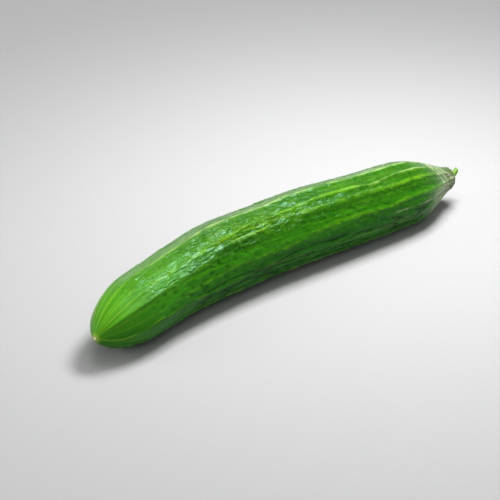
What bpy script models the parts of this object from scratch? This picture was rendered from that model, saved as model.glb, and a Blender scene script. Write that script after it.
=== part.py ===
"""A long green cucumber with its cut stalk, as picked, lying on its side.

Metres, +Z up, +X from the blossom end to the stalk end. The origin is on the surface that the fruit lies
on, under the middle of its bounding box. The fruit is bowed sideways and its underside lies along the
surface. Its skin is worked out ring by ring: each ring stands square to the bowed axis. Twelve ribs run
from end to end, and the skin between them is puckered. A ring angle is counted from the side that the
fruit bows out to, up over the top.
"""

import math

import bmesh
import bpy
from mathutils import Vector

# The bowed axis
CHORD = 0.297  # straight length from the blossom tip to where the neck's outline would close
BOW = 0.0135  # sideways rise of the axis at mid length
BOW_SWAY = 0.0041  # pulls the bow towards the blossom end

# The body, from the blossom end to the neck
BELLY_RADIUS = 0.0229
BELLY_AT = 0.536  # share of the length where the body is thickest
BELLY_FALL = 0.0172  # loss of radius per square of the share away from the belly
DOME_LENGTH = 0.0358
DOME_POWER = 0.61  # below 0.5 the blossom end is blunt, above it is pointed
SHOULDER_LENGTH = 0.0506
SHOULDER_POWER = 1.7
NECK_RADIUS = 0.0066
NECK_BLUNT = 0.0073  # the neck is rounded off this far before the end of the chord
NECK_ROUNDING = 0.0045  # length of that rounding
PRESSED = 0.0006  # how far the fruit's own weight flattens it where it lies

# Each rib: ring angle in degrees and height in millimetres at the blossom end, then both near the stalk
RIBS = (
    (14, 0.6, 18, 1.1),
    (48, 0.6, 46, 1.0),
    (85, 0.7, 86, 1.1),
    (119, 0.3, 109, 1.1),
    (137, 1.1, 126, 0.9),
    (164, 0.1, 157, 0.7),
    (180, 0.8, 193, 0.9),
    (214, 0.3, 222, 1.0),
    (244, 0.5, 246, 0.8),
    (280, 0.3, 278, 0.8),
    (312, 0.6, 306, 1.0),
    (342, 0.3, 340, 1.2),
)
TURN_SHARES = (0.2, 0.65)  # shares of the length between which the ribs take their second angle
RISE_SHARES = (0.2, 0.5)  # and their second height
KEEL_SHARE = 0.6  # how much of a rib's height is its broad back; the rest is the narrow crest on top
KEEL_FLARE = 1.8  # the higher, the narrower the broad back
CREST_WIDTH = 0.16  # half width of the crest, as a share of the way to the next rib

# Where a rib strays sideways: its number from nought, share of the length, degrees and half length as a share
STRAYS = (
    (3, 0.40, -2.5, 0.04),
    (3, 0.50, 3.0, 0.03),
    (3, 0.72, 6.5, 0.045),
    (3, 0.93, -4.0, 0.05),
    (4, 0.34, -5.0, 0.06),
    (4, 0.50, -4.0, 0.05),
    (4, 0.775, 3.0, 0.04),
    (5, 0.45, 7.0, 0.08),
    (5, 0.73, 4.0, 0.04),
    (5, 0.82, -2.0, 0.03),
    (6, 0.03, 7.0, 0.025),
    (6, 0.11, -4.0, 0.02),
    (6, 0.28, 5.0, 0.06),
)
STRAIGHT_SHARES = (0.12, 0.35)  # ribs run straight before the first share and wander freely past the second
RIB_BEND = math.radians(1.2)  # how far all ribs wander from side to side
BENDS = 6.3  # along the whole fruit
BEND_LEAD = 2  # how far the bends lead each other, round the fruit
RIB_RIPPLE = math.radians(0.5)
RIPPLES = 14.5
RIPPLE_LEAD = 5

# The puckered skin between the ribs
PUCKER = 0.00042
PUCKER_SIDE = math.radians(95)  # ring angle of the most puckered side
PUCKER_EASED = 0.5  # how much weaker the puckers are on the other side
PUCKER_LENGTH = 0.0190  # from one break in a wrinkle to the next but one
PUCKER_SLANT = 2  # how far the breaks lead each other, round the fruit
PUCKER_SWAY = 2.6  # and how unevenly
PUCKER_SWAYS_ROUND = 5  # how often that changes on the way round the fruit
PUCKER_SWAYS_ALONG = 0.31  # and in the length of a wrinkle
PUCKER_START = (0.08, 0.2)  # shares of the length between which the smooth blossom end turns puckered
PUCKER_FADE = (0.55, 0.85)  # and between which the puckers fade towards the stalk
PUCKER_FADED = 0.6  # by this much

# Swellings and dips of this fruit: share of the length, ring angle in degrees, height, half length,
# and half width in degrees
SWELLINGS = (
    (0.18, 75, -0.0009, 0.016, 45),
    (0.33, 80, 0.0013, 0.017, 45),
    (0.45, 80, -0.0007, 0.014, 45),
    (0.56, 70, 0.0004, 0.016, 45),
    (0.72, 65, -0.0006, 0.020, 45),
    (0.20, 205, -0.0005, 0.016, 40),
    (0.36, 225, 0.0005, 0.015, 40),
    (0.88, 230, 0.0005, 0.014, 40),
)

RELIEF_FULL_RADIUS = 0.014  # ribs and puckers fade on narrower stretches, down to nothing at the tip

# The blossom scar, a small corky button on the tip
SCAR_RADIUS = 0.0015
SCAR_HEIGHT = 0.0007
SCAR_PROFILE = ((0.35, 1.0), (0.75, 0.85), (1.0, 0.35))  # shares of its radius and height, from the tip
SCAR_DOME = 1.05  # its middle, as a share of its height

# The socket at the neck's end that the stalk stands in
SOCKET_RADIUS = 0.0031
SOCKET_DEPTH = 0.0045
SOCKET_GAP = 0.0003

# The stalk, cut short
STALK_RADIUS = 0.0027
STALK_TIP_RADIUS = 0.0020
STALK_REACH = 0.0068  # how far it stands out of the neck
STALK_LIFT = math.radians(40)  # how steeply it turns up as it leaves the neck
STALK_BEND = 0.0041  # within this length outside the neck
STALK_TAPER = (0.4, 1)  # shares of its length between which it thins to its tip
STALK_SLANT = 0.7  # rise of its slanting cut, for each step across
SLANT_FLARE = 4  # the higher, the nearer to the cut the slant begins
STALK_RIBS = 5
STALK_RIB_HEIGHT = 0.00022

# Mesh fineness
COLUMNS = (0.0, 0.17, 0.4, 0.6, 0.83)  # shares of the way from one rib to the next
TIP_START = 0.0012  # share of the length where the skin rises round the scar
TIP_CROWDING = 1.9  # above 1, rows stand closer together towards the tip
DOME_ROWS = 14
BODY_ROWS = 62
SHOULDER_ROWS = 14
ROUNDING_ROWS = 4
STALK_COLUMNS = 20
STALK_ROWS = 8

SKIN_GREEN = (0.055, 0.19, 0.022, 1)
STALK_GREEN = (0.25, 0.46, 0.06, 1)
UP = Vector((0, 0, 1))
DOME_END = DOME_LENGTH / CHORD
SHOULDER_START = 1 - SHOULDER_LENGTH / CHORD
NECK_END = 1 - NECK_BLUNT / CHORD


def smooth_step(low, high, value):
    t = min(max((value - low) / (high - low), 0), 1)
    return t * t * (3 - 2 * t)


def bell(value):
    """1 at nought, falling smoothly away on both sides."""
    return math.exp(-(value**2))


def body_radius(share):
    return BELLY_RADIUS - BELLY_FALL * (share - BELLY_AT) ** 2


def skin_radius(share):
    """Radius of the body with its blossom dome and its neck, before the neck's end is rounded."""
    along = share * CHORD
    dome = (1 - (1 - min(along / DOME_LENGTH, 1)) ** 2) ** DOME_POWER
    shoulder = math.sin(math.pi / 2 * min((CHORD - along) / SHOULDER_LENGTH, 1)) ** SHOULDER_POWER
    return (NECK_RADIUS + (body_radius(share) - NECK_RADIUS) * shoulder) * dome


def axis_point(share):
    """A point of the bowed axis. It stands one radius above the surface, less what the weight flattens."""
    sideways = BOW * math.sin(math.pi * share) + BOW_SWAY * math.sin(2 * math.pi * share)
    return Vector((CHORD * (share - 0.5), sideways, body_radius(share) - PRESSED))


def axis_heading(share):
    """Unit vector along the axis, level with the surface."""
    turn = math.pi * share
    slope = math.pi / CHORD * (BOW * math.cos(turn) + 2 * BOW_SWAY * math.cos(2 * turn))
    return Vector((1, slope, 0)).normalized()


def rib_place(number, share):
    """Ring angle and height of a rib at this share of the length."""
    start_angle, start_height, end_angle, end_height = RIBS[number % len(RIBS)]
    turned = 2 * math.pi * (number // len(RIBS))
    angle = start_angle + (end_angle - start_angle) * smooth_step(*TURN_SHARES, share)
    for rib, at, degrees, half_length in STRAYS:
        if rib == number % len(RIBS):
            angle += degrees * bell((share - at) / half_length)
    height = start_height + (end_height - start_height) * smooth_step(*RISE_SHARES, share)
    return math.radians(angle) + turned, height / 1000


def rib_shape(step):
    """A rib's cross-section: 1 on its rounded crest, falling to 0 at the next rib."""
    back = smooth_step(0, 1, 1 - step) ** KEEL_FLARE
    return KEEL_SHARE * back + (1 - KEEL_SHARE) * bell(step / CREST_WIDTH)


def wander(turn, share):
    """How far the ribs wander sideways, for a turn round the fruit."""
    bend = math.sin(2 * math.pi * BENDS * share + BEND_LEAD * turn)
    ripple = math.sin(2 * math.pi * RIPPLES * share + RIPPLE_LEAD * turn)
    return smooth_step(*STRAIGHT_SHARES, share) * (RIB_BEND * bend + RIB_RIPPLE * ripple)


def puckers(turn, step, share):
    """Height of the puckered skin: long wrinkles between the ribs, broken and swapped over by turns."""
    wave = 2 * math.pi * share * CHORD / PUCKER_LENGTH
    sway = PUCKER_SWAY * math.sin(PUCKER_SWAYS_ROUND * turn + PUCKER_SWAYS_ALONG * wave)
    along = math.sin(wave + PUCKER_SLANT * turn + sway)
    patch = smooth_step(*PUCKER_START, share) * (1 - PUCKER_FADED * smooth_step(*PUCKER_FADE, share))
    side = 1 - PUCKER_EASED * (0.5 - 0.5 * math.cos(turn - PUCKER_SIDE))
    return PUCKER * patch * side * along * math.sin(4 * math.pi * step)


def swelling(angle, share):
    """Height of this fruit's own swellings and dips, which are wider than the ribs."""
    total = 0
    for at, side, height, half_length, half_width in SWELLINGS:
        along = (share - at) * CHORD / half_length
        across = math.remainder(angle - math.radians(side), 2 * math.pi) / math.radians(half_width)
        total += height * bell(along) * bell(across)
    return total


def skin_point(number, step, share, radius, relief_share, along):
    """A point of the skin, some way from one rib to the next, moved along the axis if asked."""
    low_angle, low_height = rib_place(number, share)
    high_angle, high_height = rib_place(number + 1, share)
    angle = low_angle + (high_angle - low_angle) * step
    angle += wander(angle, share)
    ribs = low_height * rib_shape(step) + high_height * rib_shape(1 - step)
    height = ribs + puckers(angle, step, share) + swelling(angle, share)
    reach = radius + height * relief_share * smooth_step(0, RELIEF_FULL_RADIUS, radius)
    heading = axis_heading(share)
    point = axis_point(share) + heading * along
    point += reach * (math.cos(angle) * UP.cross(heading) + math.sin(angle) * UP)
    point.z = max(point.z, 0)  # flattened where it lies
    return point


def fruit_rows():
    """Share of the length, radius, share of the relief and shift along the axis, ring by ring."""
    rows = [(0, SCAR_RADIUS * wide, 0, -SCAR_HEIGHT * high) for wide, high in SCAR_PROFILE]
    for row in range(DOME_ROWS):
        share = TIP_START + (DOME_END - TIP_START) * (row / DOME_ROWS) ** TIP_CROWDING
        rows.append((share, skin_radius(share), 1, 0))
    for row in range(BODY_ROWS):
        share = DOME_END + (SHOULDER_START - DOME_END) * row / BODY_ROWS
        rows.append((share, skin_radius(share), 1, 0))
    for row in range(SHOULDER_ROWS + 1):
        share = SHOULDER_START + (NECK_END - SHOULDER_START) * row / SHOULDER_ROWS
        rows.append((share, skin_radius(share), 1, 0))
    for row in range(1, ROUNDING_ROWS + 1):
        turned = math.pi / 2 * row / ROUNDING_ROWS
        radius = SOCKET_RADIUS + (skin_radius(NECK_END) - SOCKET_RADIUS) * math.cos(turned)
        rows.append((NECK_END, radius, math.cos(turned), NECK_ROUNDING * math.sin(turned)))
    rows.append((NECK_END, SOCKET_RADIUS, 0, NECK_ROUNDING - SOCKET_DEPTH))
    return rows


def closed_skin(name, rings, first_pole, last_pole):
    """A closed mesh object: rings joined in order, with a point closing each end."""
    shape = bmesh.new()
    loops = [[shape.verts.new(point) for point in ring] for ring in rings]
    columns = len(loops[0])
    for low, high in zip(loops, loops[1:]):
        for column in range(columns):
            after = (column + 1) % columns
            shape.faces.new((low[column], high[column], high[after], low[after]))
    for pole, loop in ((first_pole, loops[0]), (last_pole, loops[-1])):
        tip = shape.verts.new(pole)
        for column in range(columns):
            shape.faces.new((loop[column], loop[(column + 1) % columns], tip))
    bmesh.ops.recalc_face_normals(shape, faces=shape.faces)
    mesh = bpy.data.meshes.new(name)
    shape.to_mesh(mesh)
    shape.free()
    mesh.shade_smooth()
    made = bpy.data.objects.new(name, mesh)
    bpy.context.scene.collection.objects.link(made)
    return made


def make_fruit():
    rings = []
    for share, radius, relief_share, along in fruit_rows():
        rings.append(
            [
                skin_point(number, step, share, radius, relief_share, along)
                for number in range(len(RIBS))
                for step in COLUMNS
            ]
        )
    tip = axis_point(0) - axis_heading(0) * SCAR_HEIGHT * SCAR_DOME
    floor = axis_point(NECK_END) + axis_heading(NECK_END) * (NECK_ROUNDING - SOCKET_DEPTH)
    return closed_skin("fruit", rings, tip, floor)


def make_stalk():
    """The stalk stands in the socket, clear of its wall, and turns up outside."""
    heading = axis_heading(NECK_END)
    level = UP.cross(heading)
    root = axis_point(NECK_END) + heading * (NECK_ROUNDING - SOCKET_DEPTH + SOCKET_GAP)
    length = SOCKET_DEPTH - SOCKET_GAP + STALK_REACH
    centre = root
    rings = []
    for row in range(STALK_ROWS + 1):
        share = row / STALK_ROWS
        outside = length * share - SOCKET_DEPTH + SOCKET_GAP
        lean = STALK_LIFT * smooth_step(0, STALK_BEND, outside)
        direction = math.cos(lean) * heading + math.sin(lean) * UP
        if row:
            centre = centre + direction * length / STALK_ROWS
        radius = STALK_RADIUS + (STALK_TIP_RADIUS - STALK_RADIUS) * smooth_step(*STALK_TAPER, share)
        ring = []
        for column in range(STALK_COLUMNS):
            turn = 2 * math.pi * column / STALK_COLUMNS
            reach = radius - STALK_RIB_HEIGHT * (0.5 - 0.5 * math.cos(STALK_RIBS * turn))
            across = reach * (math.cos(turn) * level + math.sin(turn) * direction.cross(level))
            cut = direction * (STALK_SLANT * reach * math.sin(turn) * share**SLANT_FLARE)
            ring.append(centre + across + cut)
        rings.append(ring)
    return closed_skin("stem", rings, root, centre)


def finish(name, colour, roughness):
    made = bpy.data.materials.new(name)
    made.use_nodes = True
    shader = made.node_tree.nodes["Principled BSDF"]
    shader.inputs["Base Color"].default_value = colour
    shader.inputs["Roughness"].default_value = roughness
    shader.inputs["Metallic"].default_value = 0
    return made


def centre_over_origin(pieces):
    """Moves all of it so that the origin is under the middle of the bounding box."""
    points = [vertex.co for piece in pieces for vertex in piece.data.vertices]
    middle_x = (min(point.x for point in points) + max(point.x for point in points)) / 2
    middle_y = (min(point.y for point in points) + max(point.y for point in points)) / 2
    for point in points:
        point.x -= middle_x
        point.y -= middle_y


for leftover in list(bpy.data.objects):
    bpy.data.objects.remove(leftover)
fruit = make_fruit()
fruit.data.materials.append(finish("waxy_green_skin", SKIN_GREEN, 0.35))
stem = make_stalk()
stem.data.materials.append(finish("fresh_cut_stalk", STALK_GREEN, 0.55))
centre_over_origin((fruit, stem))
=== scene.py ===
import math
from functools import reduce

import bpy
import bmesh
from mathutils import Matrix, Vector


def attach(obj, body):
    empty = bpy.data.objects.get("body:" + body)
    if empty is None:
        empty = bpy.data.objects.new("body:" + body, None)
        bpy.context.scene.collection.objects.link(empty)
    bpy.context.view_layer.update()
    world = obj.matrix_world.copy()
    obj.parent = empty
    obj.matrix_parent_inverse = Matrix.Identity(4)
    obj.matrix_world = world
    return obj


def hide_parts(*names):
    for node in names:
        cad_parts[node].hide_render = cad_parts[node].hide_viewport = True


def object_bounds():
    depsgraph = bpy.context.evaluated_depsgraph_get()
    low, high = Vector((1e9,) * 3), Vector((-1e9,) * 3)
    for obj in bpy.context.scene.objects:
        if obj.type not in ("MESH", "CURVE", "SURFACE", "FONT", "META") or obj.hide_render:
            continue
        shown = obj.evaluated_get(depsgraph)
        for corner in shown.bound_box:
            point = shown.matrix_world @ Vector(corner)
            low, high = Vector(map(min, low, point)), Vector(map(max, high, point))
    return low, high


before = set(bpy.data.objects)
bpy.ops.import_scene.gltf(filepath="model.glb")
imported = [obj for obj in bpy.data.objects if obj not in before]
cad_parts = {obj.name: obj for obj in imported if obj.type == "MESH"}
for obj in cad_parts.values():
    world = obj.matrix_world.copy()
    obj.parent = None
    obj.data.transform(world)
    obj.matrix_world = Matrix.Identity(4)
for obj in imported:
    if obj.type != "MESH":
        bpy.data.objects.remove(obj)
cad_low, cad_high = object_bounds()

# The fruit's skin
# One closed skin, grown in one piece from the blossom tip to the neck. Twelve ribs run along it, the skin
# between them is blistered and creased, and the neck ends in the shallow socket that the stalk grew from.

CHORD = 0.297  # metres, straight from the blossom tip to where the neck's outline would close
CHORD_SIDE = -0.00987  # the chord runs this far beside the middle of the fruit
STALK_OVERHANG = 0.00112  # the stalk lengthens the fruit at one end, so the skin's middle lies this far back
SKIN_MIDDLE = (cad_low.x + cad_high.x) / 2 - STALK_OVERHANG
SKIN_SIZES = {
    "Chord": CHORD,
    "Bow": 0.0135,  # sideways rise of the axis at mid length
    "Bow sway": 0.0041,  # pulls the bow towards the blossom end
    "Belly radius": 0.0229,
    "Belly at": 0.536,  # share of the length where the fruit is thickest
    "Belly fall": 0.0172,
    "Dome length": 0.0358,
    "Dome power": 0.61,
    "Shoulder length": 0.0506,
    "Shoulder power": 1.7,
    "Neck radius": 0.0066,
    "Neck end": 1 - 0.0073 / CHORD,  # share of the length where the neck starts to round off
    "Neck rounding": 0.0045,
    "Socket radius": 0.0031,
    "Socket depth": 0.0045,
    "Pressed": 0.0006,  # the fruit's weight flattens it by this much where it lies
    "Full relief radius": 0.014,  # ribs and blisters fade where the fruit is thinner
    "Rib bend": math.radians(6),
    "Wrinkle height": 0.00005,
    "Wrinkle length": 0.0190,
    "Blister height": 0.00030,
    "Swell height": 0.00040,
    "Crease depth": 0.00012,
    "Groove depth": 0.00055,
    "Pit depth": 0.00030,
    "Collar height": 0.00015,
    "Grain height": 0.00004,
}

# Each rib: ring angle in degrees and height in millimetres at the blossom end, both near the stalk, and how
# strongly its pale line shows at the blossom end, at mid length and near the stalk
RIBS = (
    (14, 0.6, 18, 1.1, 0.7, 0.5, 0.8),
    (48, 0.6, 46, 1.0, 0.8, 0.9, 1.0),
    (84, 0.7, 86, 1.1, 0.4, 0.9, 1.0),
    (119, 0.3, 109, 1.1, 0.5, 0.7, 0.9),
    (137, 1.1, 126, 0.9, 0.3, 0.05, 0.7),
    (164, 0.1, 157, 0.7, 0.2, 0.25, 0.6),
    (180, 0.8, 193, 0.9, 0.9, 0.2, 0.2),
    (214, 0.3, 222, 1.0, 0.3, 0.5, 0.7),
    (244, 0.5, 246, 0.8, 0.7, 0.5, 0.8),
    (280, 0.3, 278, 0.8, 0.4, 0.5, 0.7),
    (312, 0.6, 306, 1.0, 0.8, 0.6, 0.8),
    (342, 0.3, 340, 1.2, 0.4, 0.6, 0.9),
)
# Over which shares of the length the ribs turn to their second angle, change to their second height, and
# begin to waver
TURN_SHARES = (0.2, 0.65)
RISE_SHARES = (0.2, 0.5)
WAVER_SHARES = (0.12, 0.35)
KEEL_SHARE = 0.6
KEEL_FLARE = 1.8
CREST_WIDTH = 0.16  # of the way to the next rib

# Where a rib strays sideways: its number from nought, share of the length, degrees and half length as a share
STRAYS = (
    (3, 0.40, -2.5, 0.04),
    (3, 0.50, 3.0, 0.03),
    (3, 0.72, 6.5, 0.045),
    (3, 0.93, -4.0, 0.05),
    (4, 0.34, -5.0, 0.06),
    (4, 0.50, -4.0, 0.05),
    (4, 0.775, 3.0, 0.04),
    (5, 0.45, 7.0, 0.08),
    (5, 0.73, 4.0, 0.04),
    (5, 0.82, -2.0, 0.03),
    (6, 0.03, 7.0, 0.025),
    (6, 0.11, -4.0, 0.02),
    (6, 0.28, 5.0, 0.06),
)

# Fine side lines: ring angle in degrees and share of the length where each begins, and where it ends
SIDE_LINES = (
    (119, 0.40, 123, 0.53),
    (123, 0.53, 127, 0.64),
    (125, 0.34, 128, 0.42),
    (128, 0.42, 118, 0.47),
    (174, 0.74, 176, 0.97),
    (74, 0.38, 75, 0.95),
    (33, 0.55, 30, 0.97),
    (262, 0.60, 263, 0.96),
    (292, 0.58, 291, 0.97),
    (325, 0.64, 322, 0.97),
    (0, 0.60, 0, 0.97),
)
SIDE_LINE_TAPER = 50  # past its ends a line counts as further off, by so many millimetres to the length

# Corky bands round the foot of the neck: share of the length and half width as a share
COLLAR_BANDS = ((0.909, 0.0055), (0.925, 0.005), (0.944, 0.007))
COLLAR_WANDER = 0.034
COLLAR_SLANT = 0.022

# Swellings and dips wider than the ribs: share of the length, ring angle in degrees, height, half length,
# and half width in degrees
SWELLINGS = (
    (0.18, 75, -0.0009, 0.016, 45),
    (0.33, 80, 0.0013, 0.017, 45),
    (0.45, 80, -0.0007, 0.014, 45),
    (0.56, 70, 0.0004, 0.016, 45),
    (0.72, 65, -0.0006, 0.020, 45),
    (0.20, 205, -0.0005, 0.016, 40),
    (0.36, 225, 0.0005, 0.015, 40),
    (0.88, 230, 0.0005, 0.014, 40),
)

# Sides of the skin that differ from the rest: ring angle in degrees, how many degrees from it the difference
# is full, and how many degrees from it the difference has gone
BLISTERED_CREST = (116, 18, 36)
BLISTERED_BACK = (320, 70, 120)
GROOVED_FLANK = (197, 13, 24)
GROOVED_SIDE = (150, 14, 28)
PITTED_SIDE = (158, 14, 28)
SLANTED_COLLAR = (165, 10, 55)

# The blisters: how many there are to the metre, and how they are shaped
BLISTERS_ACROSS = 340
BLISTERS_ALONG = 75  # at the tip, and more of them further along
MORE_BLISTERS_ALONG = 300
BLISTER_SWAY = 1.5
BLISTER_RIM = 0.1
BLISTER_STEP = 0.15
BLISTER_TILTS = (3.5, 4.8)  # near the tip, and past it

# How far a crease, a groove or a pit reaches to each side, in the measure of the noise or cells it is cut by
CREASE_WIDTH = 0.018
GROOVE_WIDTH = 0.06
PIT_WIDTH = 0.32

SKIN_COLUMNS = 252  # a whole number of columns from each rib to the next
DOME_ROWS = 60
BODY_ROWS = 310
ROUNDING_ROWS = 10
SOCKET_ROWS = 3
SKIN_ROWS = DOME_ROWS + BODY_ROWS + ROUNDING_ROWS + SOCKET_ROWS + 1
DOME_CROWDING = 1.9  # crowds the rows towards the tip
SEAM_GAP = 0.000002  # points nearer than this are joined, at the seam and the poles


def feed(socket, value):
    """Sets a node's input, or links it where another node works the value out."""
    if isinstance(value, Field):
        value = value.socket
    if isinstance(value, bpy.types.NodeSocket):
        socket.id_data.links.new(value, socket)
    else:
        socket.default_value = value


def add(tree, kind, inputs, **settings):
    """Adds a node with its settings and inputs."""
    node = tree.nodes.new(kind)
    for name, value in settings.items():
        setattr(node, name, value)
    for name, value in inputs.items():
        feed(node.inputs[name], value)
    return node


class Field:
    """A number that differs from point to point. A formula of fields adds its Math nodes to their tree."""

    def __init__(self, socket):
        self.socket = socket
        self.tree = socket.id_data

    def math(self, operation, *others):
        values = dict(enumerate((self, *others)))
        return Field(add(self.tree, "ShaderNodeMath", values, operation=operation).outputs[0])

    def __add__(self, other):
        return self.math("ADD", other)

    def __radd__(self, other):
        return self.math("ADD", other)

    def __mul__(self, other):
        return self.math("MULTIPLY", other)

    def __rmul__(self, other):
        return self.math("MULTIPLY", other)

    def __sub__(self, other):
        return self.math("SUBTRACT", other)

    def __rsub__(self, other):
        return self.math("MULTIPLY_ADD", -1, other)

    def __truediv__(self, other):
        return self.math("DIVIDE", other)

    def __pow__(self, other):
        return self.math("POWER", other)

    def least(self, other):
        return self.math("MINIMUM", other)

    def most(self, other):
        return self.math("MAXIMUM", other)

    def unsigned(self):
        return self.math("ABSOLUTE")

    def whole(self):
        return self.math("FLOOR")

    def sine(self):
        return self.math("SINE")

    def cosine(self):
        return self.math("COSINE")

    def bell(self):
        """1 at nought, falling smoothly away on both sides."""
        return (self * self * -1).math("EXPONENT")

    def step(self, low, high):
        """0 below the first value, 1 above the second, and an even rise between."""
        return self.ramp(low, high, 0, 1, "LINEAR")

    def ease(self, low, high):
        """The same with a smooth rise."""
        return self.ramp(low, high, 0, 1)

    def ramp(self, low, high, start, end, form="SMOOTHSTEP"):
        """From the start value to the end value, as this field goes from the low value to the high one."""
        values = {0: self, 1: low, 2: high, 3: start, 4: end}
        node = add(self.tree, "ShaderNodeMapRange", values, interpolation_type=form, clamp=True)
        return Field(node.outputs[0])

    def between(self, start, end):
        """From the start value to the end value, as this field goes from 0 to 1."""
        return start + self * (end - start)


def vector(tree, x, y, z):
    return add(tree, "ShaderNodeCombineXYZ", {0: x, 1: y, 2: z}).outputs[0]


def parts(place):
    """The three numbers of a place, as fields."""
    return [Field(socket) for socket in add(place.id_data, "ShaderNodeSeparateXYZ", {0: place}).outputs]


def combined(operation, first, second, result="Vector"):
    """Two places put together by a Vector Math node."""
    node = add(first.id_data, "ShaderNodeVectorMath", {0: first, 1: second}, operation=operation)
    return node.outputs[result]


def stretched(place, along, across):
    """The same place in other units, along the fruit and across it, so that a pattern on it is stretched."""
    return combined("MULTIPLY", place, (along, across, across))


def noise(place, along, across, detail=2.0, roughness=0.5, distortion=0.0):
    """Cloudy noise about 0.5, with so many lumps to the metre along the fruit and across it."""
    values = {"Vector": stretched(place, along, across), "Scale": 1.0}
    values |= {"Detail": detail, "Roughness": roughness, "Distortion": distortion}
    return Field(add(place.id_data, "ShaderNodeTexNoise", values).outputs[0])


def cells(place, feature="F1"):
    """Distance from the middle of the nearest cell, or from its edge, one cell to each unit."""
    return add(place.id_data, "ShaderNodeTexVoronoi", {"Vector": place, "Scale": 1.0}, feature=feature)


def rib_value(number, column):
    """A value of the rib table, picked by the rib's number."""
    switch = number.tree.nodes.new("GeometryNodeIndexSwitch")
    switch.data_type = "FLOAT"
    while len(switch.index_switch_items) < len(RIBS):
        switch.index_switch_items.new()
    feed(switch.inputs[0], number.math("FLOORED_MODULO", len(RIBS)))
    for place, rib in enumerate(RIBS):
        switch.inputs[place + 1].default_value = rib[column]
    return Field(switch.outputs[0])


def rib_place(number, share):
    """Ring angle in radians and height in metres of a rib at this share of the length."""
    turned = share.ease(*TURN_SHARES)
    risen = share.ease(*RISE_SHARES)
    angle = turned.between(rib_value(number, 0), rib_value(number, 2))
    height = risen.between(rib_value(number, 1), rib_value(number, 3))
    for rib, at, degrees, half_length in STRAYS:
        here = number.math("COMPARE", rib, 0.5)
        angle = angle + here * ((share - at) / half_length).bell() * degrees
    rounds = (number / len(RIBS)).whole()
    return angle * math.radians(1) + rounds * (2 * math.pi), height * 0.001


def rib_line(number, share):
    """How strongly the pale line on a rib shows."""
    near = share.ease(0.04, 0.17).between(rib_value(number, 4), rib_value(number, 5))
    return near + share.ease(0.45, 0.7) * (rib_value(number, 6) - rib_value(number, 5))


def rib_shape(step):
    """A rib's cross-section: 1 on its rounded crest, falling to 0 at the next rib."""
    return step.ramp(0, 1, 1, 0) ** KEEL_FLARE * KEEL_SHARE + (step / CREST_WIDTH).bell() * (1 - KEEL_SHARE)


def angle_from(angle, middle):
    """Angle from another, the short way round."""
    return (angle - middle).math("WRAP", math.pi, -math.pi)


def start_tree(name, sizes):
    """A Geometry Nodes tree with a named input for each size. Returns it and its inputs as fields."""
    tree = bpy.data.node_groups.new(name, "GeometryNodeTree")
    tree.interface.new_socket("Geometry", in_out="OUTPUT", socket_type="NodeSocketGeometry")
    for label, value in sizes.items():
        tree.interface.new_socket(label, in_out="INPUT", socket_type="NodeSocketFloat").default_value = value
    entry = tree.nodes.new("NodeGroupInput")
    return tree, {label: Field(entry.outputs[label]) for label in sizes}


def end_tree(tree, geometry, material):
    """Ends a tree in plain, smooth, painted geometry."""
    real = add(tree, "GeometryNodeRealizeInstances", {"Geometry": geometry}).outputs[0]
    smooth = add(tree, "GeometryNodeSetShadeSmooth", {"Geometry": real}).outputs[0]
    painted = add(tree, "GeometryNodeSetMaterial", {"Geometry": smooth, "Material": material}).outputs[0]
    add(tree, "NodeGroupOutput", {0: painted})


def grown(name, tree, sizes):
    """A plain mesh object made by a Geometry Nodes tree."""
    piece = bpy.data.objects.new(name, bpy.data.meshes.new(name))
    bpy.context.scene.collection.objects.link(piece)
    modifier = piece.modifiers.new(name, "NODES")
    modifier.node_group = tree
    for item in tree.interface.items_tree:
        if item.in_out == "INPUT":
            modifier[item.identifier] = sizes[item.name]
    evaluated = piece.evaluated_get(bpy.context.evaluated_depsgraph_get())
    mesh = bpy.data.meshes.new_from_object(evaluated)
    piece.modifiers.remove(modifier)
    piece.data = mesh
    mesh.name = name
    return piece


def body_radius(size, share):
    out = share - size["Belly at"]
    return size["Belly radius"] - size["Belly fall"] * out * out


def skin_radius(size, share):
    """Radius of the body with its blossom dome and its neck, before the neck's end is rounded."""
    along = share * size["Chord"]
    out = 1 - (along / size["Dome length"]).least(1)
    dome = (1 - out * out) ** size["Dome power"]
    left = ((size["Chord"] - along) / size["Shoulder length"]).least(1)
    shoulder = (left * (math.pi / 2)).sine() ** size["Shoulder power"]
    return shoulder.between(size["Neck radius"], body_radius(size, share)) * dome


def toward(straight, degrees, start, end):
    """1 on the side of the fruit at a ring angle, fading to 0 between two angles away from it."""
    turn = math.radians(degrees)
    _, side, up = parts(straight)
    facing = side * math.cos(turn) + up * math.sin(turn)
    facing = facing / SKIN_SIZES["Belly radius"]
    return facing.ease(math.cos(math.radians(end)), math.cos(math.radians(start)))


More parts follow.
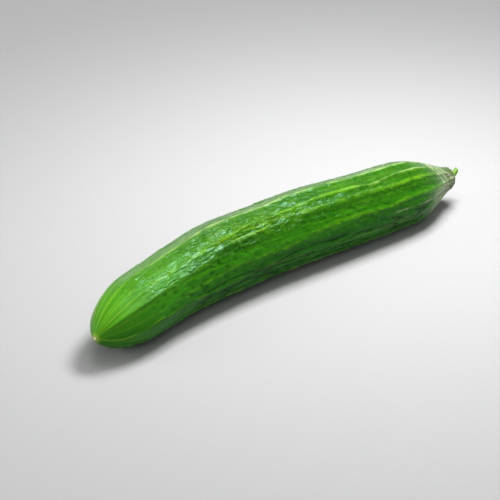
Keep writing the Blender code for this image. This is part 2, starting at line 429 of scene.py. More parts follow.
def blisters(straight, share):
    """Height of the flat-topped blisters, each with a tilt of its own, so that some of them catch the light,
    and 1 in the veins between them."""
    tree = straight.id_data
    along, side, up = parts(straight)
    closeness = along * MORE_BLISTERS_ALONG + BLISTERS_ALONG
    scaled = vector(tree, along * closeness, side * BLISTERS_ACROSS, up * BLISTERS_ACROSS)
    values = {"Vector": stretched(straight, 90, 220), "Scale": 1.0, "Detail": 2.0}
    cloud = add(tree, "ShaderNodeTexNoise", values).outputs["Color"]
    sway = combined("SUBTRACT", cloud, (0.5, 0.5, 0.5))
    swayed = combined("ADD", scaled, stretched(sway, BLISTER_SWAY, BLISTER_SWAY))
    rim = Field(cells(swayed, "DISTANCE_TO_EDGE").outputs[0]).ease(0, BLISTER_RIM)
    pad = cells(swayed)
    off = combined("SUBTRACT", scaled, pad.outputs["Position"])
    lean = combined("SUBTRACT", pad.outputs["Color"], (0.5, 0.5, 0.5))
    tilt = Field(combined("DOT_PRODUCT", off, lean, "Value"))
    _, off_side, off_up = parts(off)
    flat_top = 0.5 * (off_side**2 + off_up**2)
    return rim * BLISTER_STEP + flat_top + share.ramp(0.12, 0.4, *BLISTER_TILTS) * tilt, 1 - rim


def skin_relief(straight):
    """The blisters, creases, grooves, pits and corky collar, from a place on the skin laid straight. All but
    the blisters' height go from 0 to 1."""
    share = parts(straight)[0] / CHORD
    blistered = toward(straight, *BLISTERED_CREST) * share.ease(0.045, 0.11) * share.ramp(0.42, 0.66, 1, 0.25)
    back = toward(straight, *BLISTERED_BACK) * share.ease(0.08, 0.2) * share.ramp(0.5, 0.9, 0.8, 0.3)
    blistered = blistered.most(back).most(share.ease(0.07, 0.2) * 0.4)
    blister, vein = blisters(straight, share)

    fissure = noise(straight, 100, 300, 2.0, 0.5, 0.2)
    crease = ((fissure - 0.5) / CREASE_WIDTH).bell()

    long_lumps = noise(straight, 28, 220, 2.0, 0.45, 0.3)
    groove = ((long_lumps - 0.5) / GROOVE_WIDTH).bell() * share.ease(0.12, 0.28)
    grooved = toward(straight, *GROOVED_FLANK).most(toward(straight, *GROOVED_SIDE) * 0.3).most(0.2)

    pit = (Field(cells(stretched(straight, 170, 210)).outputs[0]) / PIT_WIDTH).bell()
    pitted = toward(straight, *PITTED_SIDE) * share.ease(0.07, 0.13) * share.ramp(0.25, 0.4, 1, 0.3)

    wander = (noise(straight, 50, 60) - 0.5) * COLLAR_WANDER
    slant = toward(straight, *SLANTED_COLLAR) * COLLAR_SLANT
    bands = [((share + wander - slant - at) / width).bell() for at, width in COLLAR_BANDS]
    broken = noise(straight, 260, 140, 3.0, 0.6).ramp(0.35, 0.6, 0.3, 1)
    return {
        "share": share,
        "blistered": blistered,
        "blister": blister * blistered,
        "vein": vein * blistered,
        "crease": crease * blistered,
        "groove": groove * grooved,
        "pit": pit * pitted,
        "collar": reduce(Field.most, bands) * broken,
    }


def skin_height(size, straight):
    """Height of the fine relief over the ribs."""
    relief = skin_relief(straight)
    swell = noise(straight, 60, 110, 1.0) - 0.5
    grain = noise(straight, 380, 620, 3.0, 0.6) - 0.5
    height = size["Blister height"] * relief["blister"]
    height = height + size["Swell height"] * swell * relief["blistered"].between(0.4, 1.6)
    height = height - size["Crease depth"] * relief["crease"]
    height = height - size["Groove depth"] * relief["groove"]
    height = height - size["Pit depth"] * relief["pit"]
    height = height + size["Collar height"] * relief["collar"]
    return height + size["Grain height"] * grain * relief["share"].ease(0.05, 0.2).between(0.3, 1)


def swellings(angle, share):
    """Height of the swellings and dips that are wider than the ribs."""
    total = 0
    for at, turn, height, half_length, half_width in SWELLINGS:
        lengthwise = (share - at) * (CHORD / half_length)
        across = angle_from(angle, math.radians(turn)) / math.radians(half_width)
        total = lengthwise.bell() * across.bell() * height + total
    return total


def wrinkles(size, angle, share, step):
    """Height of the long wrinkles between the ribs, broken and swapped over by turns."""
    wave = share * size["Chord"] * (2 * math.pi) / size["Wrinkle length"]
    along = (wave + angle * 5 + (angle * 3 + wave * 0.31).sine() * 1.9).sine()
    patch = share.ease(0.08, 0.2) * share.ramp(0.55, 0.85, 1, 0.4)
    side = 0.75 + (angle - math.radians(95)).cosine() * 0.25
    return size["Wrinkle height"] * patch * side * along * (step * (4 * math.pi)).sine()


def side_line_gap(angle, share, radius):
    """Millimetres from the nearest fine side line."""
    gaps = []
    for start_turn, start, end_turn, end in SIDE_LINES:
        run = share.step(start, end)
        middle = run * math.radians(end_turn - start_turn) + math.radians(start_turn)
        beyond = (start - share).most(share - end).most(0) * SIDE_LINE_TAPER
        gaps.append(angle_from(angle, middle).unsigned() * radius * 1000 + beyond)
    return reduce(Field.least, gaps)


def laid_along_axis(tree, size, share, angle, forward, reach):
    """A point of the skin: square to the bowed axis, with the fruit's underside pressed flat."""
    turn = share * math.pi
    slope = size["Bow"] * turn.cosine() + size["Bow sway"] * 2 * (turn * 2).cosine()
    slope = slope * math.pi / size["Chord"]
    longer = (slope * slope + 1).math("SQRT")
    axis_x = (share - 0.5) * size["Chord"]
    axis_y = size["Bow"] * turn.sine() + size["Bow sway"] * (turn * 2).sine()
    axis_z = body_radius(size, share) - size["Pressed"]
    level = reach * angle.cosine()
    x = axis_x + (forward - level * slope) / longer
    y = axis_y + (forward * slope + level) / longer
    z = (axis_z + reach * angle.sine()).most(0)
    return vector(tree, x + SKIN_MIDDLE, y + CHORD_SIDE, z)


def make_skin_tree(material):
    tree, size = start_tree("fruit_skin", SKIN_SIZES)
    rows, columns = SKIN_ROWS + 1, SKIN_COLUMNS + 1
    values = {"Size X": 1.0, "Size Y": 1.0, "Vertices X": rows, "Vertices Y": columns}
    sheet = add(tree, "GeometryNodeMeshGrid", values).outputs["Mesh"]
    sheet_x, sheet_y, _ = parts(tree.nodes.new("GeometryNodeInputPosition").outputs[0])
    row = (sheet_x + 0.5) * SKIN_ROWS
    around = (sheet_y + 0.5) * len(RIBS)

    # Along the fruit: the dome, the body and its neck, the neck's rounding, then down into the socket
    dome_end = size["Dome length"] / size["Chord"]
    dome_step = row.step(0, DOME_ROWS) ** DOME_CROWDING
    body_step = row.step(DOME_ROWS, DOME_ROWS + BODY_ROWS)
    share = dome_end * dome_step + (size["Neck end"] - dome_end) * body_step
    rounding_start = DOME_ROWS + BODY_ROWS
    turned = row.step(rounding_start, rounding_start + ROUNDING_ROWS) * (math.pi / 2)
    socket_start = rounding_start + ROUNDING_ROWS
    sunk = row.step(socket_start, socket_start + SOCKET_ROWS)
    closed = row.step(SKIN_ROWS - 1, SKIN_ROWS)
    shown = turned.cosine()
    radius = shown.between(size["Socket radius"], skin_radius(size, share)) * (1 - closed)
    forward = size["Neck rounding"] * turned.sine() - size["Socket depth"] * sunk

    # Round the fruit: from one rib to the next
    number = (around + 0.0001).whole()
    step = (around - number).most(0)
    low_angle, low_height = rib_place(number, share)
    high_angle, high_height = rib_place(number + 1, share)
    plain_angle = step.between(low_angle, high_angle)
    belly = SKIN_SIZES["Belly radius"]
    plain = vector(tree, share * size["Chord"], plain_angle.cosine() * belly, plain_angle.sine() * belly)
    bend = noise(plain, 62, 60, 3.0) - 0.5
    angle = plain_angle + share.ease(*WAVER_SHARES) * size["Rib bend"] * bend
    straight = vector(tree, share * size["Chord"], angle.cosine() * belly, angle.sine() * belly)

    ribs = low_height * rib_shape(step) + high_height * rib_shape(1 - step)
    coarse = ribs + wrinkles(size, angle, share, step) + swellings(angle, share)
    faded = radius.ease(0, size["Full relief radius"]) * shown
    reach = radius + (coarse + skin_height(size, straight)) * faded
    place = laid_along_axis(tree, size, share, angle, forward, reach)

    # What the finish needs to know about each point
    past_middle = (step - 0.5).math("GREATER_THAN", 0)
    facts = {
        "line_gap": step.least(1 - step) * (high_angle - low_angle) * radius * 1000,
        "line_strength": past_middle.between(rib_line(number, share), rib_line(number + 1, share)),
        "side_gap": side_line_gap(angle, share, radius),
        "laid_straight": straight,
    }
    for name, value in facts.items():
        form = "FLOAT" if isinstance(value, Field) else "FLOAT_VECTOR"
        values = {"Geometry": sheet, "Name": name, "Value": value}
        stored = add(tree, "GeometryNodeStoreNamedAttribute", values, data_type=form, domain="POINT")
        sheet = stored.outputs[0]
    placed = add(tree, "GeometryNodeSetPosition", {"Geometry": sheet, "Position": place}).outputs[0]
    merged = add(tree, "GeometryNodeMergeByDistance", {"Geometry": placed, "Distance": SEAM_GAP}).outputs[0]
    outward = add(tree, "GeometryNodeFlipFaces", {0: merged}).outputs[0]
    end_tree(tree, outward, material)
    return tree


def attribute(tree, name):
    node = tree.nodes.new("ShaderNodeAttribute")
    node.attribute_name = name
    return node


def fact(tree, name):
    return Field(attribute(tree, name).outputs["Fac"])


def blend(share, low, high):
    """Two colours mixed by a share."""
    node = share.tree.nodes.new("ShaderNodeMix")
    node.data_type = "RGBA"
    for socket, value in (("Factor_Float", share), ("A_Color", low), ("B_Color", high)):
        feed(next(s for s in node.inputs if s.identifier == socket), value)
    return next(s for s in node.outputs if s.identifier == "Result_Color")


def painted(ground, *coats):
    """A ground colour under coats of paint, each laid on by its own share."""
    for share, coat in coats:
        ground = blend(share, ground, coat)
    return ground


def colour(red, green, blue):
    """A colour as a painter's chart gives it, 0 to 255, for a shader."""
    shares = []
    for part in (red, green, blue):
        part = part / 255
        shares.append(part / 12.92 if part <= 0.04045 else ((part + 0.055) / 1.055) ** 2.4)
    return (*shares, 1)


def bump(height, distance, strength=1.0):
    """Fine relief: a height field in the units of the distance."""
    values = {"Height": height, "Distance": distance, "Strength": strength}
    return add(height.tree, "ShaderNodeBump", values).outputs[0]


# More sides of the skin, given as those of its relief are
UPPER_SIDE = (100, 30, 70)
FRESH_FLANK = (176, 24, 38)
DEEP_BAND = (146, 6, 22)
SHADED_UNDERSIDE = (235, 55, 80)
# where painted shade lies along the underside
VEINED_RIB = (111, 5, 15)
SUNNY_TIP = (88, 40, 60)
# where the painted highlight lies on the blossom end
HIGHLIGHT_SIDE = (120, 8, 20)
# where the painted grey sheen lies along the back
SHEEN_BACK = (73, 3, 19)
BLOOMING_NECK = (75, 15, 35)
HAZY_NECK = (190, 16, 40)

# Sides where the pale lines are cream and not lime, with the shares of the length between which they turn so
CREAM_SIDES = (
    (80, 12, 20, 0.08, 0.3),
    (100, 14, 19, 0.62, 0.8),
    (188, 14, 22, 0.6, 0.8),
    (290, 75, 95, 0.1, 0.6),
)

DEEP_GREEN = colour(28, 100, 14)
LEAF_GREEN = colour(54, 128, 22)
DARK_OLIVE = colour(30, 76, 8)
OLIVE = colour(53, 96, 13)
FRESH_GREEN = colour(76, 146, 20)
STREAK_GREEN = colour(74, 130, 22)
DAPPLE_DARK = colour(16, 76, 6)
DAPPLE_PALE = colour(70, 124, 34)
VEIN_GREEN = colour(100, 160, 14)
FLANK_GREEN = colour(62, 140, 14)
BAND_GREEN = colour(18, 80, 6)
UNDERSIDE_SHADE_GREEN = colour(8, 66, 2)
HOLLOW_SHADE_GREEN = colour(8, 50, 0)
BRIGHT_VEIN = colour(140, 188, 34)
TIP_GREEN = colour(76, 152, 30)
RAY_LIME = colour(148, 196, 42)
PAINTED_HIGHLIGHT_GREEN = colour(100, 178, 92)
SCAR_LIME = colour(170, 196, 80)
HALO_GREEN = colour(88, 150, 20)
LINE_SHADOW_GREEN = colour(18, 76, 6)
SOFT_LIME = colour(116, 164, 24)
STRONG_LIME = colour(142, 188, 38)
CREAM = colour(182, 194, 142)
SHEEN_AND_BLOOM_GREY = colour(118, 138, 104)
NECK_GREEN = colour(80, 100, 62)
NECK_BROWN = colour(78, 66, 40)
CORK = colour(172, 178, 150)
PORE_GREEN = colour(112, 142, 70)

LINE_WAVER = 1.8  # millimetres that the edges of the pale lines stray
HALO_WIDTH = 3.0  # millimetres from a rib's crest to where the lighter green beside its line has gone
SHADOW_GAP = 2.3  # millimetres from a rib's crest to the painted shadow beside its line
PORE_CELLS = 420  # to the metre, and a few of them hold a pore
NO_PORE_SHARE = 0.85
FINE_RELIEF = 0.00018


def body_green(straight, relief, mottle, streak):
    """Greens of the body: mottled, streaked lengthwise and dappled across, darker in every hollow, partly by
    the skin's own deeper green and partly by painted shade, and with painted shade along the underside.
    """
    share = relief["share"]
    upper = toward(straight, *UPPER_SIDE)
    dapple = noise(straight, 520, 260, 2.0, 0.6)
    shaded_hollows = relief["crease"] * 0.5 + relief["groove"] * 0.85 + relief["pit"] * 0.6
    veined = toward(straight, *VEINED_RIB) * share.ease(0.08, 0.14) * share.ramp(0.42, 0.56, 1, 0)
    return painted(
        blend(mottle.step(0.3, 0.7), DEEP_GREEN, LEAF_GREEN),
        (upper * 0.8, blend(mottle.step(0.35, 0.65), DARK_OLIVE, OLIVE)),
        (upper * share.ramp(0.12, 0.34, 0.5, 0), FRESH_GREEN),
        (streak.step(0.35, 0.75) * 0.3, STREAK_GREEN),
        (dapple.ramp(0.35, 0.5, 0.4, 0), DAPPLE_DARK),
        (dapple.step(0.5, 0.7) * 0.35, DAPPLE_PALE),
        (relief["vein"] * upper * 0.24, VEIN_GREEN),
        (toward(straight, *FRESH_FLANK) * 0.5, FLANK_GREEN),
        (toward(straight, *DEEP_BAND) * 0.25, BAND_GREEN),
        # Painted shade along the underside
        (toward(straight, *SHADED_UNDERSIDE) * 0.55, UNDERSIDE_SHADE_GREEN),
        # Darker in every hollow: partly the skin's own deeper green, partly painted shade
        (shaded_hollows, HOLLOW_SHADE_GREEN),
        (relief["crease"] * veined * 0.28, BRIGHT_VEIN),
    )


def with_blossom_end(green, straight, share, mottle):
    """The blossom end: lighter on top, with fine yellow rays running out from the scar, and a painted
    highlight on its upper flank.
    """
    sunny = toward(straight, *SUNNY_TIP)
    tip = share.ramp(0.03, 0.13, 1, 0) * mottle.ramp(0.3, 0.65, 0.6, 1)
    rays = noise(straight, 5, 340, 3.0, 0.6).ease(0.5, 0.62) * share.ramp(0.02, 0.13, 1, 0)
    painted_highlight = toward(straight, *HIGHLIGHT_SIDE) * share.ease(0.035, 0.08) * share.ramp(0.2, 0.32, 1, 0)
    return painted(
        green,
        (tip * sunny.between(0.12, 0.9), TIP_GREEN),
        (rays * sunny.between(0.12, 0.42), RAY_LIME),
        # A painted highlight on the blossom end's upper flank
        (painted_highlight * mottle.ramp(0.38, 0.6, 0.05, 0.18), PAINTED_HIGHLIGHT_GREEN),
        (share.ramp(0, 0.005, 0.6, 0), SCAR_LIME),
    )


def with_pale_lines(green, straight, share, streak):
    """The pale lines on the ribs: soft-edged, wavering, and fainter here and there. They are lime where the
    skin is young, and cream along the back and near the stalk. Returns how strongly they show, too."""
    tree = share.tree
    line_gap = fact(tree, "line_gap")
    line_strength = fact(tree, "line_strength")
    sides = [toward(straight, *side) * share.ease(low, high) for *side, low, high in CREAM_SIDES]
    creamy = reduce(Field.most, sides)
    waver = (noise(straight, 170, 260, 3.0, 0.6) - 0.5) * LINE_WAVER
    width = share.ramp(0.02, 0.2, 0.45, 0.7)
    width = width * share.ease(0.35, 0.7).between(1, creamy.between(1.6, 0.75))
    line = ((line_gap + waver * width) / width).ramp(-0.1, 1.6, 1, 0)
    side_line = (fact(tree, "side_gap") + waver * 0.6).ramp(-0.1, 1.0, 1, 0)
    fainter = noise(straight, 85, 90, 3.0, 0.6).ramp(0.36, 0.64, 0.15, 1)
    threads = streak.ramp(0.3, 0.6, 0.5, 1) * share.ramp(0.91, 0.95, 1, 0.25)
    pale = (line * line_strength).most(side_line * 0.8) * fainter * threads
    halo = (line_gap + waver).ramp(0, HALO_WIDTH, 1, 0) * share.ease(0.12, 0.25)
    line_shadow = (line_gap + waver - SHADOW_GAP).bell() * share.ease(0.4, 0.6)
    lime = blend(share.ramp(0.38, 0.56, 1, 0), SOFT_LIME, STRONG_LIME)
    lined = painted(
        green,
        (halo * line_strength * fainter * 0.62, HALO_GREEN),
        # A painted shadow beside each rib's line
        (line_shadow * line_strength * 0.4, LINE_SHADOW_GREEN),
        (pale * creamy.between(share.ramp(0.5, 0.7, 0.6, 0.46), 0.8), blend(creamy, lime, CREAM)),
    )
    return lined, pale


def sheen_and_bloom(straight, share, mottle, streak):
    """Where painted grey sheen lies along the back, between two ribs, and where a greyish bloom lies round
    the shoulder.
    """
    back_sheen = toward(straight, *SHEEN_BACK) * share.ease(0.05, 0.12)
    back_sheen = back_sheen * streak.ramp(0.3, 0.6, 0.3, 1) * mottle.ramp(0.35, 0.6, 0.5, 1)
    return back_sheen.most(toward(straight, *BLOOMING_NECK) * share.ease(0.82, 0.92))


def corky(straight, relief, pale, streak):
    """Where the skin is corky: in bands and a haze round the foot of the neck, and where the lines run in."""
    share = relief["share"]
    haze = ((share - 0.935) / 0.03).bell() * 0.3
    flank_haze = ((share - 0.925) / 0.045).bell() * toward(straight, *HAZY_NECK)
    haze = haze.most(flank_haze * streak.ramp(0.35, 0.6, 0.5, 0.85))
    return relief["collar"].most(haze).most(pale * share.ease(0.84, 0.93) * 0.8)


def make_waxy_skin():
    finish = bpy.data.materials.new("waxy_green_skin")
    finish.use_nodes = True
    tree = finish.node_tree
    shader = tree.nodes["Principled BSDF"]
    straight = attribute(tree, "laid_straight").outputs["Vector"]
    relief = skin_relief(straight)
    share = relief["share"]
    mottle = noise(straight, 60, 150, 3.0, 0.55)
    streak = noise(straight, 30, 420, 3.0, 0.6)
    green = body_green(straight, relief, mottle, streak)
    green = with_blossom_end(green, straight, share, mottle)
    lined, pale = with_pale_lines(green, straight, share, streak)

    # Past the collar the neck is dull grey-green, browned here and there. Pores a few tenths of a millimetre
    # across dot the whole skin
    neck = share.ease(0.925, 0.985)
    browned = noise(straight, 110, 170, 3.0, 0.6).step(0.42, 0.66) * share.ease(0.915, 0.96)
    cork = corky(straight, relief, pale, streak)
    pore = cells(stretched(straight, PORE_CELLS, PORE_CELLS))
    picked = Field(add(tree, "ShaderNodeSeparateColor", {0: pore.outputs["Color"]}).outputs[0])
    speck = Field(pore.outputs[0]).ramp(0.12, 0.22, 1, 0) * picked.math("GREATER_THAN", NO_PORE_SHARE)
    skin_colour = painted(
        lined,
        # Painted grey sheen along the back, and a greyish bloom round the shoulder
        (sheen_and_bloom(straight, share, mottle, streak) * 0.42, SHEEN_AND_BLOOM_GREY),
        (neck * 0.8, NECK_GREEN),
        (browned * 0.6, NECK_BROWN),
        (cork * 0.75, CORK),
        (speck * 0.35, PORE_GREEN),
    )
    feed(shader.inputs["Base Color"], skin_colour)

    rubbed = noise(straight, 160, 300, 3.0, 0.6).ramp(0.38, 0.62, 0.14, 0.3)
    feed(shader.inputs["Roughness"], rubbed + pale * 0.12 + cork * 0.3 + neck * 0.25)
    feed(shader.inputs["Specular IOR Level"], 0.11)
    feed(shader.inputs["Specular Tint"], (0.42, 0.95, 0.74, 1))
    feed(shader.inputs["Sheen Weight"], 0.02)
    feed(shader.inputs["Sheen Roughness"], 0.35)
    feed(shader.inputs["Sheen Tint"], (0.8, 0.95, 0.72, 1))

    grain = noise(straight, 900, 1500, 3.0, 0.6)
    lumps = noise(straight, 300, 520)
    height = grain * 0.1 + lumps * 0.2 + speck * 0.5 + cork * 0.8
    height = height + relief["blister"] * 0.8 - relief["vein"] * 0.6
    height = height - relief["crease"] * 0.4 - relief["groove"] * 0.9
    feed(shader.inputs["Normal"], bump(height, FINE_RELIEF, 0.8))
    return finish


skin = grown("fruit_skin", make_skin_tree(make_waxy_skin()), SKIN_SIZES)
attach(skin, "root")
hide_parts("fruit")

# The wax specks
# A few hundred pinpoint crumbs of dried sap and wax, stuck to the skin where it brushed the leaves. They are
# laid on the finished skin at random.

SPECK_SIZES = {
    "Specks to the square metre": 9000,
    "Smallest speck": 0.00008,
    "Largest speck": 0.00026,
    "Flatness": 0.45,
}
SPECK_SPOTS_SEED = 7
SPECK_SIZES_SEED = 3


def make_speck_tree(material):
    tree, size = start_tree("wax_specks", SPECK_SIZES)
    ground = add(tree, "GeometryNodeObjectInfo", {"Object": skin}).outputs["Geometry"]
    values = {"Mesh": ground, "Density": size["Specks to the square metre"], "Seed": SPECK_SPOTS_SEED}
    spots = add(tree, "GeometryNodeDistributePointsOnFaces", values)
    crumb = add(tree, "GeometryNodeMeshUVSphere", {"Segments": 8, "Rings": 5, "Radius": 1.0}).outputs["Mesh"]
    drawn = add(tree, "FunctionNodeRandomValue", {"Seed": SPECK_SIZES_SEED}, data_type="FLOAT")
    reach = (Field(drawn.outputs[1]) ** 3).between(size["Smallest speck"], size["Largest speck"])
    values = {
        "Points": spots.outputs["Points"],
        "Instance": crumb,
        "Rotation": spots.outputs["Rotation"],
        "Scale": vector(tree, reach, reach, reach * size["Flatness"]),
    }
    end_tree(tree, add(tree, "GeometryNodeInstanceOnPoints", values).outputs[0], material)
    return tree


WAX_GREEN = colour(96, 140, 60)
WAX_CREAM = colour(206, 214, 184)


def make_wax():
    finish = bpy.data.materials.new("dried_wax")
    finish.use_nodes = True
    tree = finish.node_tree
    shader = tree.nodes["Principled BSDF"]
    place = tree.nodes.new("ShaderNodeTexCoord").outputs["Object"]
    mottle = noise(place, 700, 700, 2.0, 0.6)
    feed(shader.inputs["Base Color"], blend(mottle.step(0.35, 0.65), WAX_GREEN, WAX_CREAM))
    feed(shader.inputs["Roughness"], 0.4)
    return finish


specks = grown("wax_specks", make_speck_tree(make_wax()), SPECK_SIZES)
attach(specks, "root")

# The stalk
# The stub that is left where the fruit was cut from the vine. It is five-ribbed and juicy green, it stands in
# the neck's socket and turns up, and its slanting cut is dished and a little torn.

STALK_RADIUS = 0.0025
STALK_TIP_RADIUS = 0.0018
STALK_REACH = 0.0068
STALK_LIFT = math.radians(40)
STALK_SLANT = 0.7
STALK_RIBS = 5
STALK_RIB_HEIGHT = 0.00022
STALK_FIBRES = 23
STALK_FIBRE_HEIGHT = 0.00003
CUT_DISH = 0.00035
CUT_TEETH = 7
CUT_TOOTH_HEIGHT = 0.00012
SOCKET_GAP = 0.0003
STALK_COLUMNS = 80
STALK_ROWS = 40
CUT_ROWS = 10
STALK_GREEN = colour(78, 130, 12)
STALK_LIME = colour(126, 168, 44)
UP = Vector((0, 0, 1))


def smooth_step(low, high, value):
    t = min(max((value - low) / (high - low), 0), 1)
    return t * t * (3 - 2 * t)


def axis_at(share):
    """The middle of the skin at a share of the length, and the way it runs there."""
    turn = math.pi * share
    sideways = SKIN_SIZES["Bow"] * math.sin(turn) + SKIN_SIZES["Bow sway"] * math.sin(2 * turn)
    slope = SKIN_SIZES["Bow"] * math.cos(turn) + 2 * SKIN_SIZES["Bow sway"] * math.cos(2 * turn)
    height = body_radius(SKIN_SIZES, share) - SKIN_SIZES["Pressed"]
    place = Vector((CHORD * (share - 0.5) + SKIN_MIDDLE, sideways + CHORD_SIDE, height))
    return place, Vector((1, slope * math.pi / CHORD, 0)).normalized()


def lofted(name, rings, first_pole, last_pole, material):
    """A closed, smooth skin over rings of points, with a point closing each end."""
    shape = bmesh.new()
    loops = [[shape.verts.new(point) for point in ring] for ring in rings]
    count = len(loops[0])
    for low, high in zip(loops, loops[1:]):
        for column in range(count):
            after = (column + 1) % count
            shape.faces.new((low[column], high[column], high[after], low[after]))
    for pole, loop in ((first_pole, loops[0]), (last_pole, loops[-1])):
        end = shape.verts.new(pole)
        for column in range(count):
            shape.faces.new((loop[column], loop[(column + 1) % count], end))
    bmesh.ops.recalc_face_normals(shape, faces=shape.faces)
    mesh = bpy.data.meshes.new(name)
    shape.to_mesh(mesh)
    shape.free()
    mesh.shade_smooth()
    mesh.materials.append(material)
    piece = bpy.data.objects.new(name, mesh)
    bpy.context.scene.collection.objects.link(piece)
    return piece


def make_stalk(material):
    neck, heading = axis_at(SKIN_SIZES["Neck end"])
    level = UP.cross(heading)
    depth = SKIN_SIZES["Socket depth"] - SOCKET_GAP
    root = neck + heading * (SKIN_SIZES["Neck rounding"] - depth)
    length = depth + STALK_REACH
    centre = root
    rings = []
    for row in range(STALK_ROWS + CUT_ROWS):
        share = min(row / STALK_ROWS, 1)
        inward = max(row - STALK_ROWS, 0) / CUT_ROWS
        outside = length * share - depth
        lean = STALK_LIFT * smooth_step(0, STALK_REACH * 0.6, outside)
        direction = math.cos(lean) * heading + math.sin(lean) * UP
        if 0 < row <= STALK_ROWS:
            centre = centre + direction * length / STALK_ROWS
        radius = STALK_RADIUS + (STALK_TIP_RADIUS - STALK_RADIUS) * smooth_step(0.4, 1, share)
        dish = CUT_DISH * smooth_step(0, 0.5, inward)
        ring = []
        for column in range(STALK_COLUMNS):
            turn = 2 * math.pi * column / STALK_COLUMNS
            furrow = STALK_RIB_HEIGHT * (0.5 - 0.5 * math.cos(STALK_RIBS * turn))
            fibre = STALK_FIBRE_HEIGHT * math.sin(STALK_FIBRES * turn + 2 * math.sin(3 * turn)) * (1 - inward)
            reach = (radius - furrow + fibre) * (1 - inward)
            across = reach * (math.cos(turn) * level + math.sin(turn) * direction.cross(level))
            rise = STALK_SLANT * reach * math.sin(turn) * share**4
            torn = CUT_TOOTH_HEIGHT * math.sin(CUT_TEETH * turn + 1) * share**20 * (1 - inward)
            ring.append(centre + across + direction * (rise - dish + torn))
        rings.append(ring)
    return lofted("stalk", rings, root, centre - direction * CUT_DISH, material)


def make_stalk_finish():
    finish = bpy.data.materials.new("fresh_cut_stalk")
    finish.use_nodes = True
    tree = finish.node_tree
    shader = tree.nodes["Principled BSDF"]
    place = tree.nodes.new("ShaderNodeTexCoord").outputs["Object"]
    mottle = noise(place, 500, 900, 3.0, 0.6)
    feed(shader.inputs["Base Color"], blend(mottle.step(0.3, 0.7), STALK_GREEN, STALK_LIME))
    feed(shader.inputs["Roughness"], mottle.between(0.45, 0.7))
    feed(shader.inputs["Specular IOR Level"], 0.4)
    feed(shader.inputs["Normal"], bump(noise(place, 900, 2600, 3.0), 0.00012, 0.8))
    return finish


stalk = make_stalk(make_stalk_finish())
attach(stalk, "root")
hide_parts("stem")

# The blossom scar
# The small dry disc that the flower leaves at the tip when it drops: a ragged cream pad, sunk in the middle.
# It is corky tissue of the fruit's own, standing a little proud of the skin.

SCAR_RADIUS = 0.0008
SCAR_HEIGHT = 0.0003
SCAR_COLUMNS = 48
# Rings from its buried foot, over the rim and down to the middle: share of the radius and of the height
SCAR_RINGS = (
    (1.3, -1.6),
    (1.2, -0.4),
    (1.05, 0.5),
    (0.92, 0.9),
    (0.78, 1.0),
    (0.6, 0.8),
    (0.38, 0.35),
    (0.18, 0.3),
)
SCAR_TAN = colour(206, 176, 100)
SCAR_CREAM = colour(246, 238, 196)


def make_scar(material):
    tip, inward = axis_at(0)
    heading = -inward
    level = UP.cross(heading)
    rings = []
    for out, up in SCAR_RINGS:
        ring = []
        for column in range(SCAR_COLUMNS):
            turn = 2 * math.pi * column / SCAR_COLUMNS
            ragged = 1 + 0.06 * math.sin(5 * turn + 0.7) + 0.04 * math.sin(11 * turn)
            reach = SCAR_RADIUS * out * ragged
            lift = SCAR_HEIGHT * up * (1 + 0.15 * math.sin(3 * turn))
            ring.append(tip + heading * lift + reach * (math.cos(turn) * level + math.sin(turn) * UP))
        rings.append(ring)
    first = tip + heading * SCAR_HEIGHT * SCAR_RINGS[0][1]
    last = tip + heading * SCAR_HEIGHT * SCAR_RINGS[-1][1]
    return lofted("blossom_scar", rings, first, last, material)


def make_scar_finish():
    finish = bpy.data.materials.new("dry_cork")
    finish.use_nodes = True
    tree = finish.node_tree
    shader = tree.nodes["Principled BSDF"]
    place = tree.nodes.new("ShaderNodeTexCoord").outputs["Object"]
    mottle = noise(place, 2400, 2400, 3.0, 0.6)
    feed(shader.inputs["Base Color"], blend(mottle.step(0.35, 0.6), SCAR_TAN, SCAR_CREAM))
    feed(shader.inputs["Roughness"], 0.8)
    feed(shader.inputs["Normal"], bump(mottle, 0.0001, 0.8))
    return finish


scar = make_scar(make_scar_finish())
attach(scar, "root")

# The surface and the light
# A round sheet of pale paper, flat where the fruit lies and curving up far away into a low wall, under soft
# lamps overhead and to the sides, as in a small product studio.

PAPER_FLAT = 5.0  # metres from the middle to where the paper starts to curve up
PAPER_CURVE = 1.0
PAPER_WALL = 0.8
PAPER_CURVE_STEPS = 12
PAPER_SIDES = 96
PAPER_SEAM_GAP = 0.0001
PAPER_GREY = (0.4, 0.4, 0.4, 1)
PAPER_GLOW = 0.5  # where the lamps no longer reach, the paper glows faintly and so stays pale
GLOW_STARTS = 0.2
GLOW_FULL = 1.2

# Each lamp: its place in metres, its width and height, and its watts
LAMPS = {
    "key": ((0.18, 0.02, 0.46), 0.2, 0.15, 4.2),
    "near": ((-0.06, 0.0, 0.6), 0.28, 0.3, 1.1),
    "overhead": ((0.1, 0.1, 1.3), 1.4, 1.4, 2.0),
    "behind": ((0.55, 0.95, 0.5), 1.0, 0.6, 0.9),
    "rim": ((-0.7, 0.4, 0.3), 0.4, 0.4, 2.0),
    "front": ((-0.5, -0.6, 0.9), 0.8, 0.8, 2.8),
}
LAMPS_AIM = Vector((0, 0, 0.02))
SKY_TINT = (0.9, 0.95, 1.0, 1)
SKY_STRENGTH = 0.06


def make_paper_finish():
    paper = bpy.data.materials.new("pale_paper")
    paper.use_nodes = True
    tree = paper.node_tree
    shader = tree.nodes["Principled BSDF"]
    feed(shader.inputs["Base Color"], PAPER_GREY)
    feed(shader.inputs["Roughness"], 0.9)
    feed(shader.inputs["Specular IOR Level"], 0.1)
    place = tree.nodes.new("ShaderNodeTexCoord").outputs["Object"]
    spread = Field(add(tree, "ShaderNodeVectorMath", {0: place}, operation="LENGTH").outputs["Value"])
    feed(shader.inputs["Emission Color"], (1.0, 1.0, 1.0, 1))
    feed(shader.inputs["Emission Strength"], spread.ramp(GLOW_STARTS, GLOW_FULL, 0, PAPER_GLOW))
    return paper


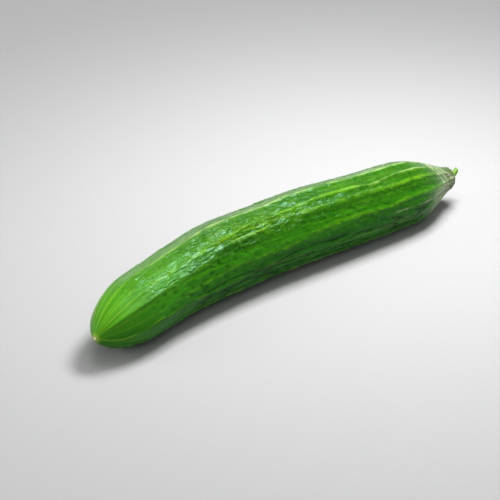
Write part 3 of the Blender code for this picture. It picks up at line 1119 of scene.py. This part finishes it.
def make_paper(material):
    """The paper's outline, spun round."""
    outline = [(0, 0), (PAPER_FLAT, 0)]
    for step in range(1, PAPER_CURVE_STEPS + 1):
        rise = math.pi / 2 * step / PAPER_CURVE_STEPS
        outline.append((PAPER_FLAT + PAPER_CURVE * math.sin(rise), PAPER_CURVE * (1 - math.cos(rise))))
    outline.append((PAPER_FLAT + PAPER_CURVE, PAPER_CURVE + PAPER_WALL))
    sheet = bmesh.new()
    points = [sheet.verts.new((out, 0, up)) for out, up in outline]
    edges = [sheet.edges.new(pair) for pair in zip(points, points[1:])]
    bmesh.ops.spin(
        sheet, geom=points + edges, axis=UP, cent=(0, 0, 0), steps=PAPER_SIDES, angle=2 * math.pi
    )
    bmesh.ops.remove_doubles(sheet, verts=sheet.verts, dist=PAPER_SEAM_GAP)
    mesh = bpy.data.meshes.new("surface")
    sheet.to_mesh(mesh)
    sheet.free()
    mesh.shade_smooth()
    mesh.materials.append(material)
    surface = bpy.data.objects.new("surface", mesh)
    bpy.context.scene.collection.objects.link(surface)
    return surface


def soft_lamp(name, place, width, height, watts):
    lamp = bpy.data.lights.new(name, "AREA")
    lamp.shape = "RECTANGLE"
    lamp.size = width
    lamp.size_y = height
    lamp.energy = watts
    stand = bpy.data.objects.new(name, lamp)
    stand.location = place
    stand.rotation_euler = (LAMPS_AIM - Vector(place)).to_track_quat("-Z", "Y").to_euler()
    bpy.context.scene.collection.objects.link(stand)


make_paper(make_paper_finish())
for lamp_name, lamp_values in LAMPS.items():
    soft_lamp(lamp_name, *lamp_values)
sky = bpy.data.worlds.new("studio")
sky.use_nodes = True
feed(sky.node_tree.nodes["Background"].inputs["Color"], SKY_TINT)
feed(sky.node_tree.nodes["Background"].inputs["Strength"], SKY_STRENGTH)
bpy.context.scene.world = sky
bpy.context.scene.view_settings.view_transform = "Standard"

# The camera
# It looks down along the fruit from the blossom end, as the photograph does.

CAMERA_AZIMUTH = math.radians(-40.43)
CAMERA_ELEVATION = math.radians(31)
CAMERA_DISTANCE = 0.75
CAMERA_TARGET = Vector((-0.0251, 0.0035, 0.020))
FOCAL_PIXELS = 1213.9
PICTURE_PIXELS = 500
camera_data = bpy.data.cameras.new("camera")
camera_data.sensor_width = 36
camera_data.lens = FOCAL_PIXELS / PICTURE_PIXELS * camera_data.sensor_width
camera = bpy.data.objects.new("camera", camera_data)
back = Vector(
    (
        math.sin(CAMERA_AZIMUTH) * math.cos(CAMERA_ELEVATION),
        -math.cos(CAMERA_AZIMUTH) * math.cos(CAMERA_ELEVATION),
        math.sin(CAMERA_ELEVATION),
    )
)
right = UP.cross(back).normalized()
turned_to_target = Matrix((right, back.cross(right), back)).transposed().to_4x4()
camera.matrix_world = Matrix.Translation(CAMERA_TARGET + back * CAMERA_DISTANCE) @ turned_to_target
bpy.context.scene.collection.objects.link(camera)
bpy.context.scene.camera = camera
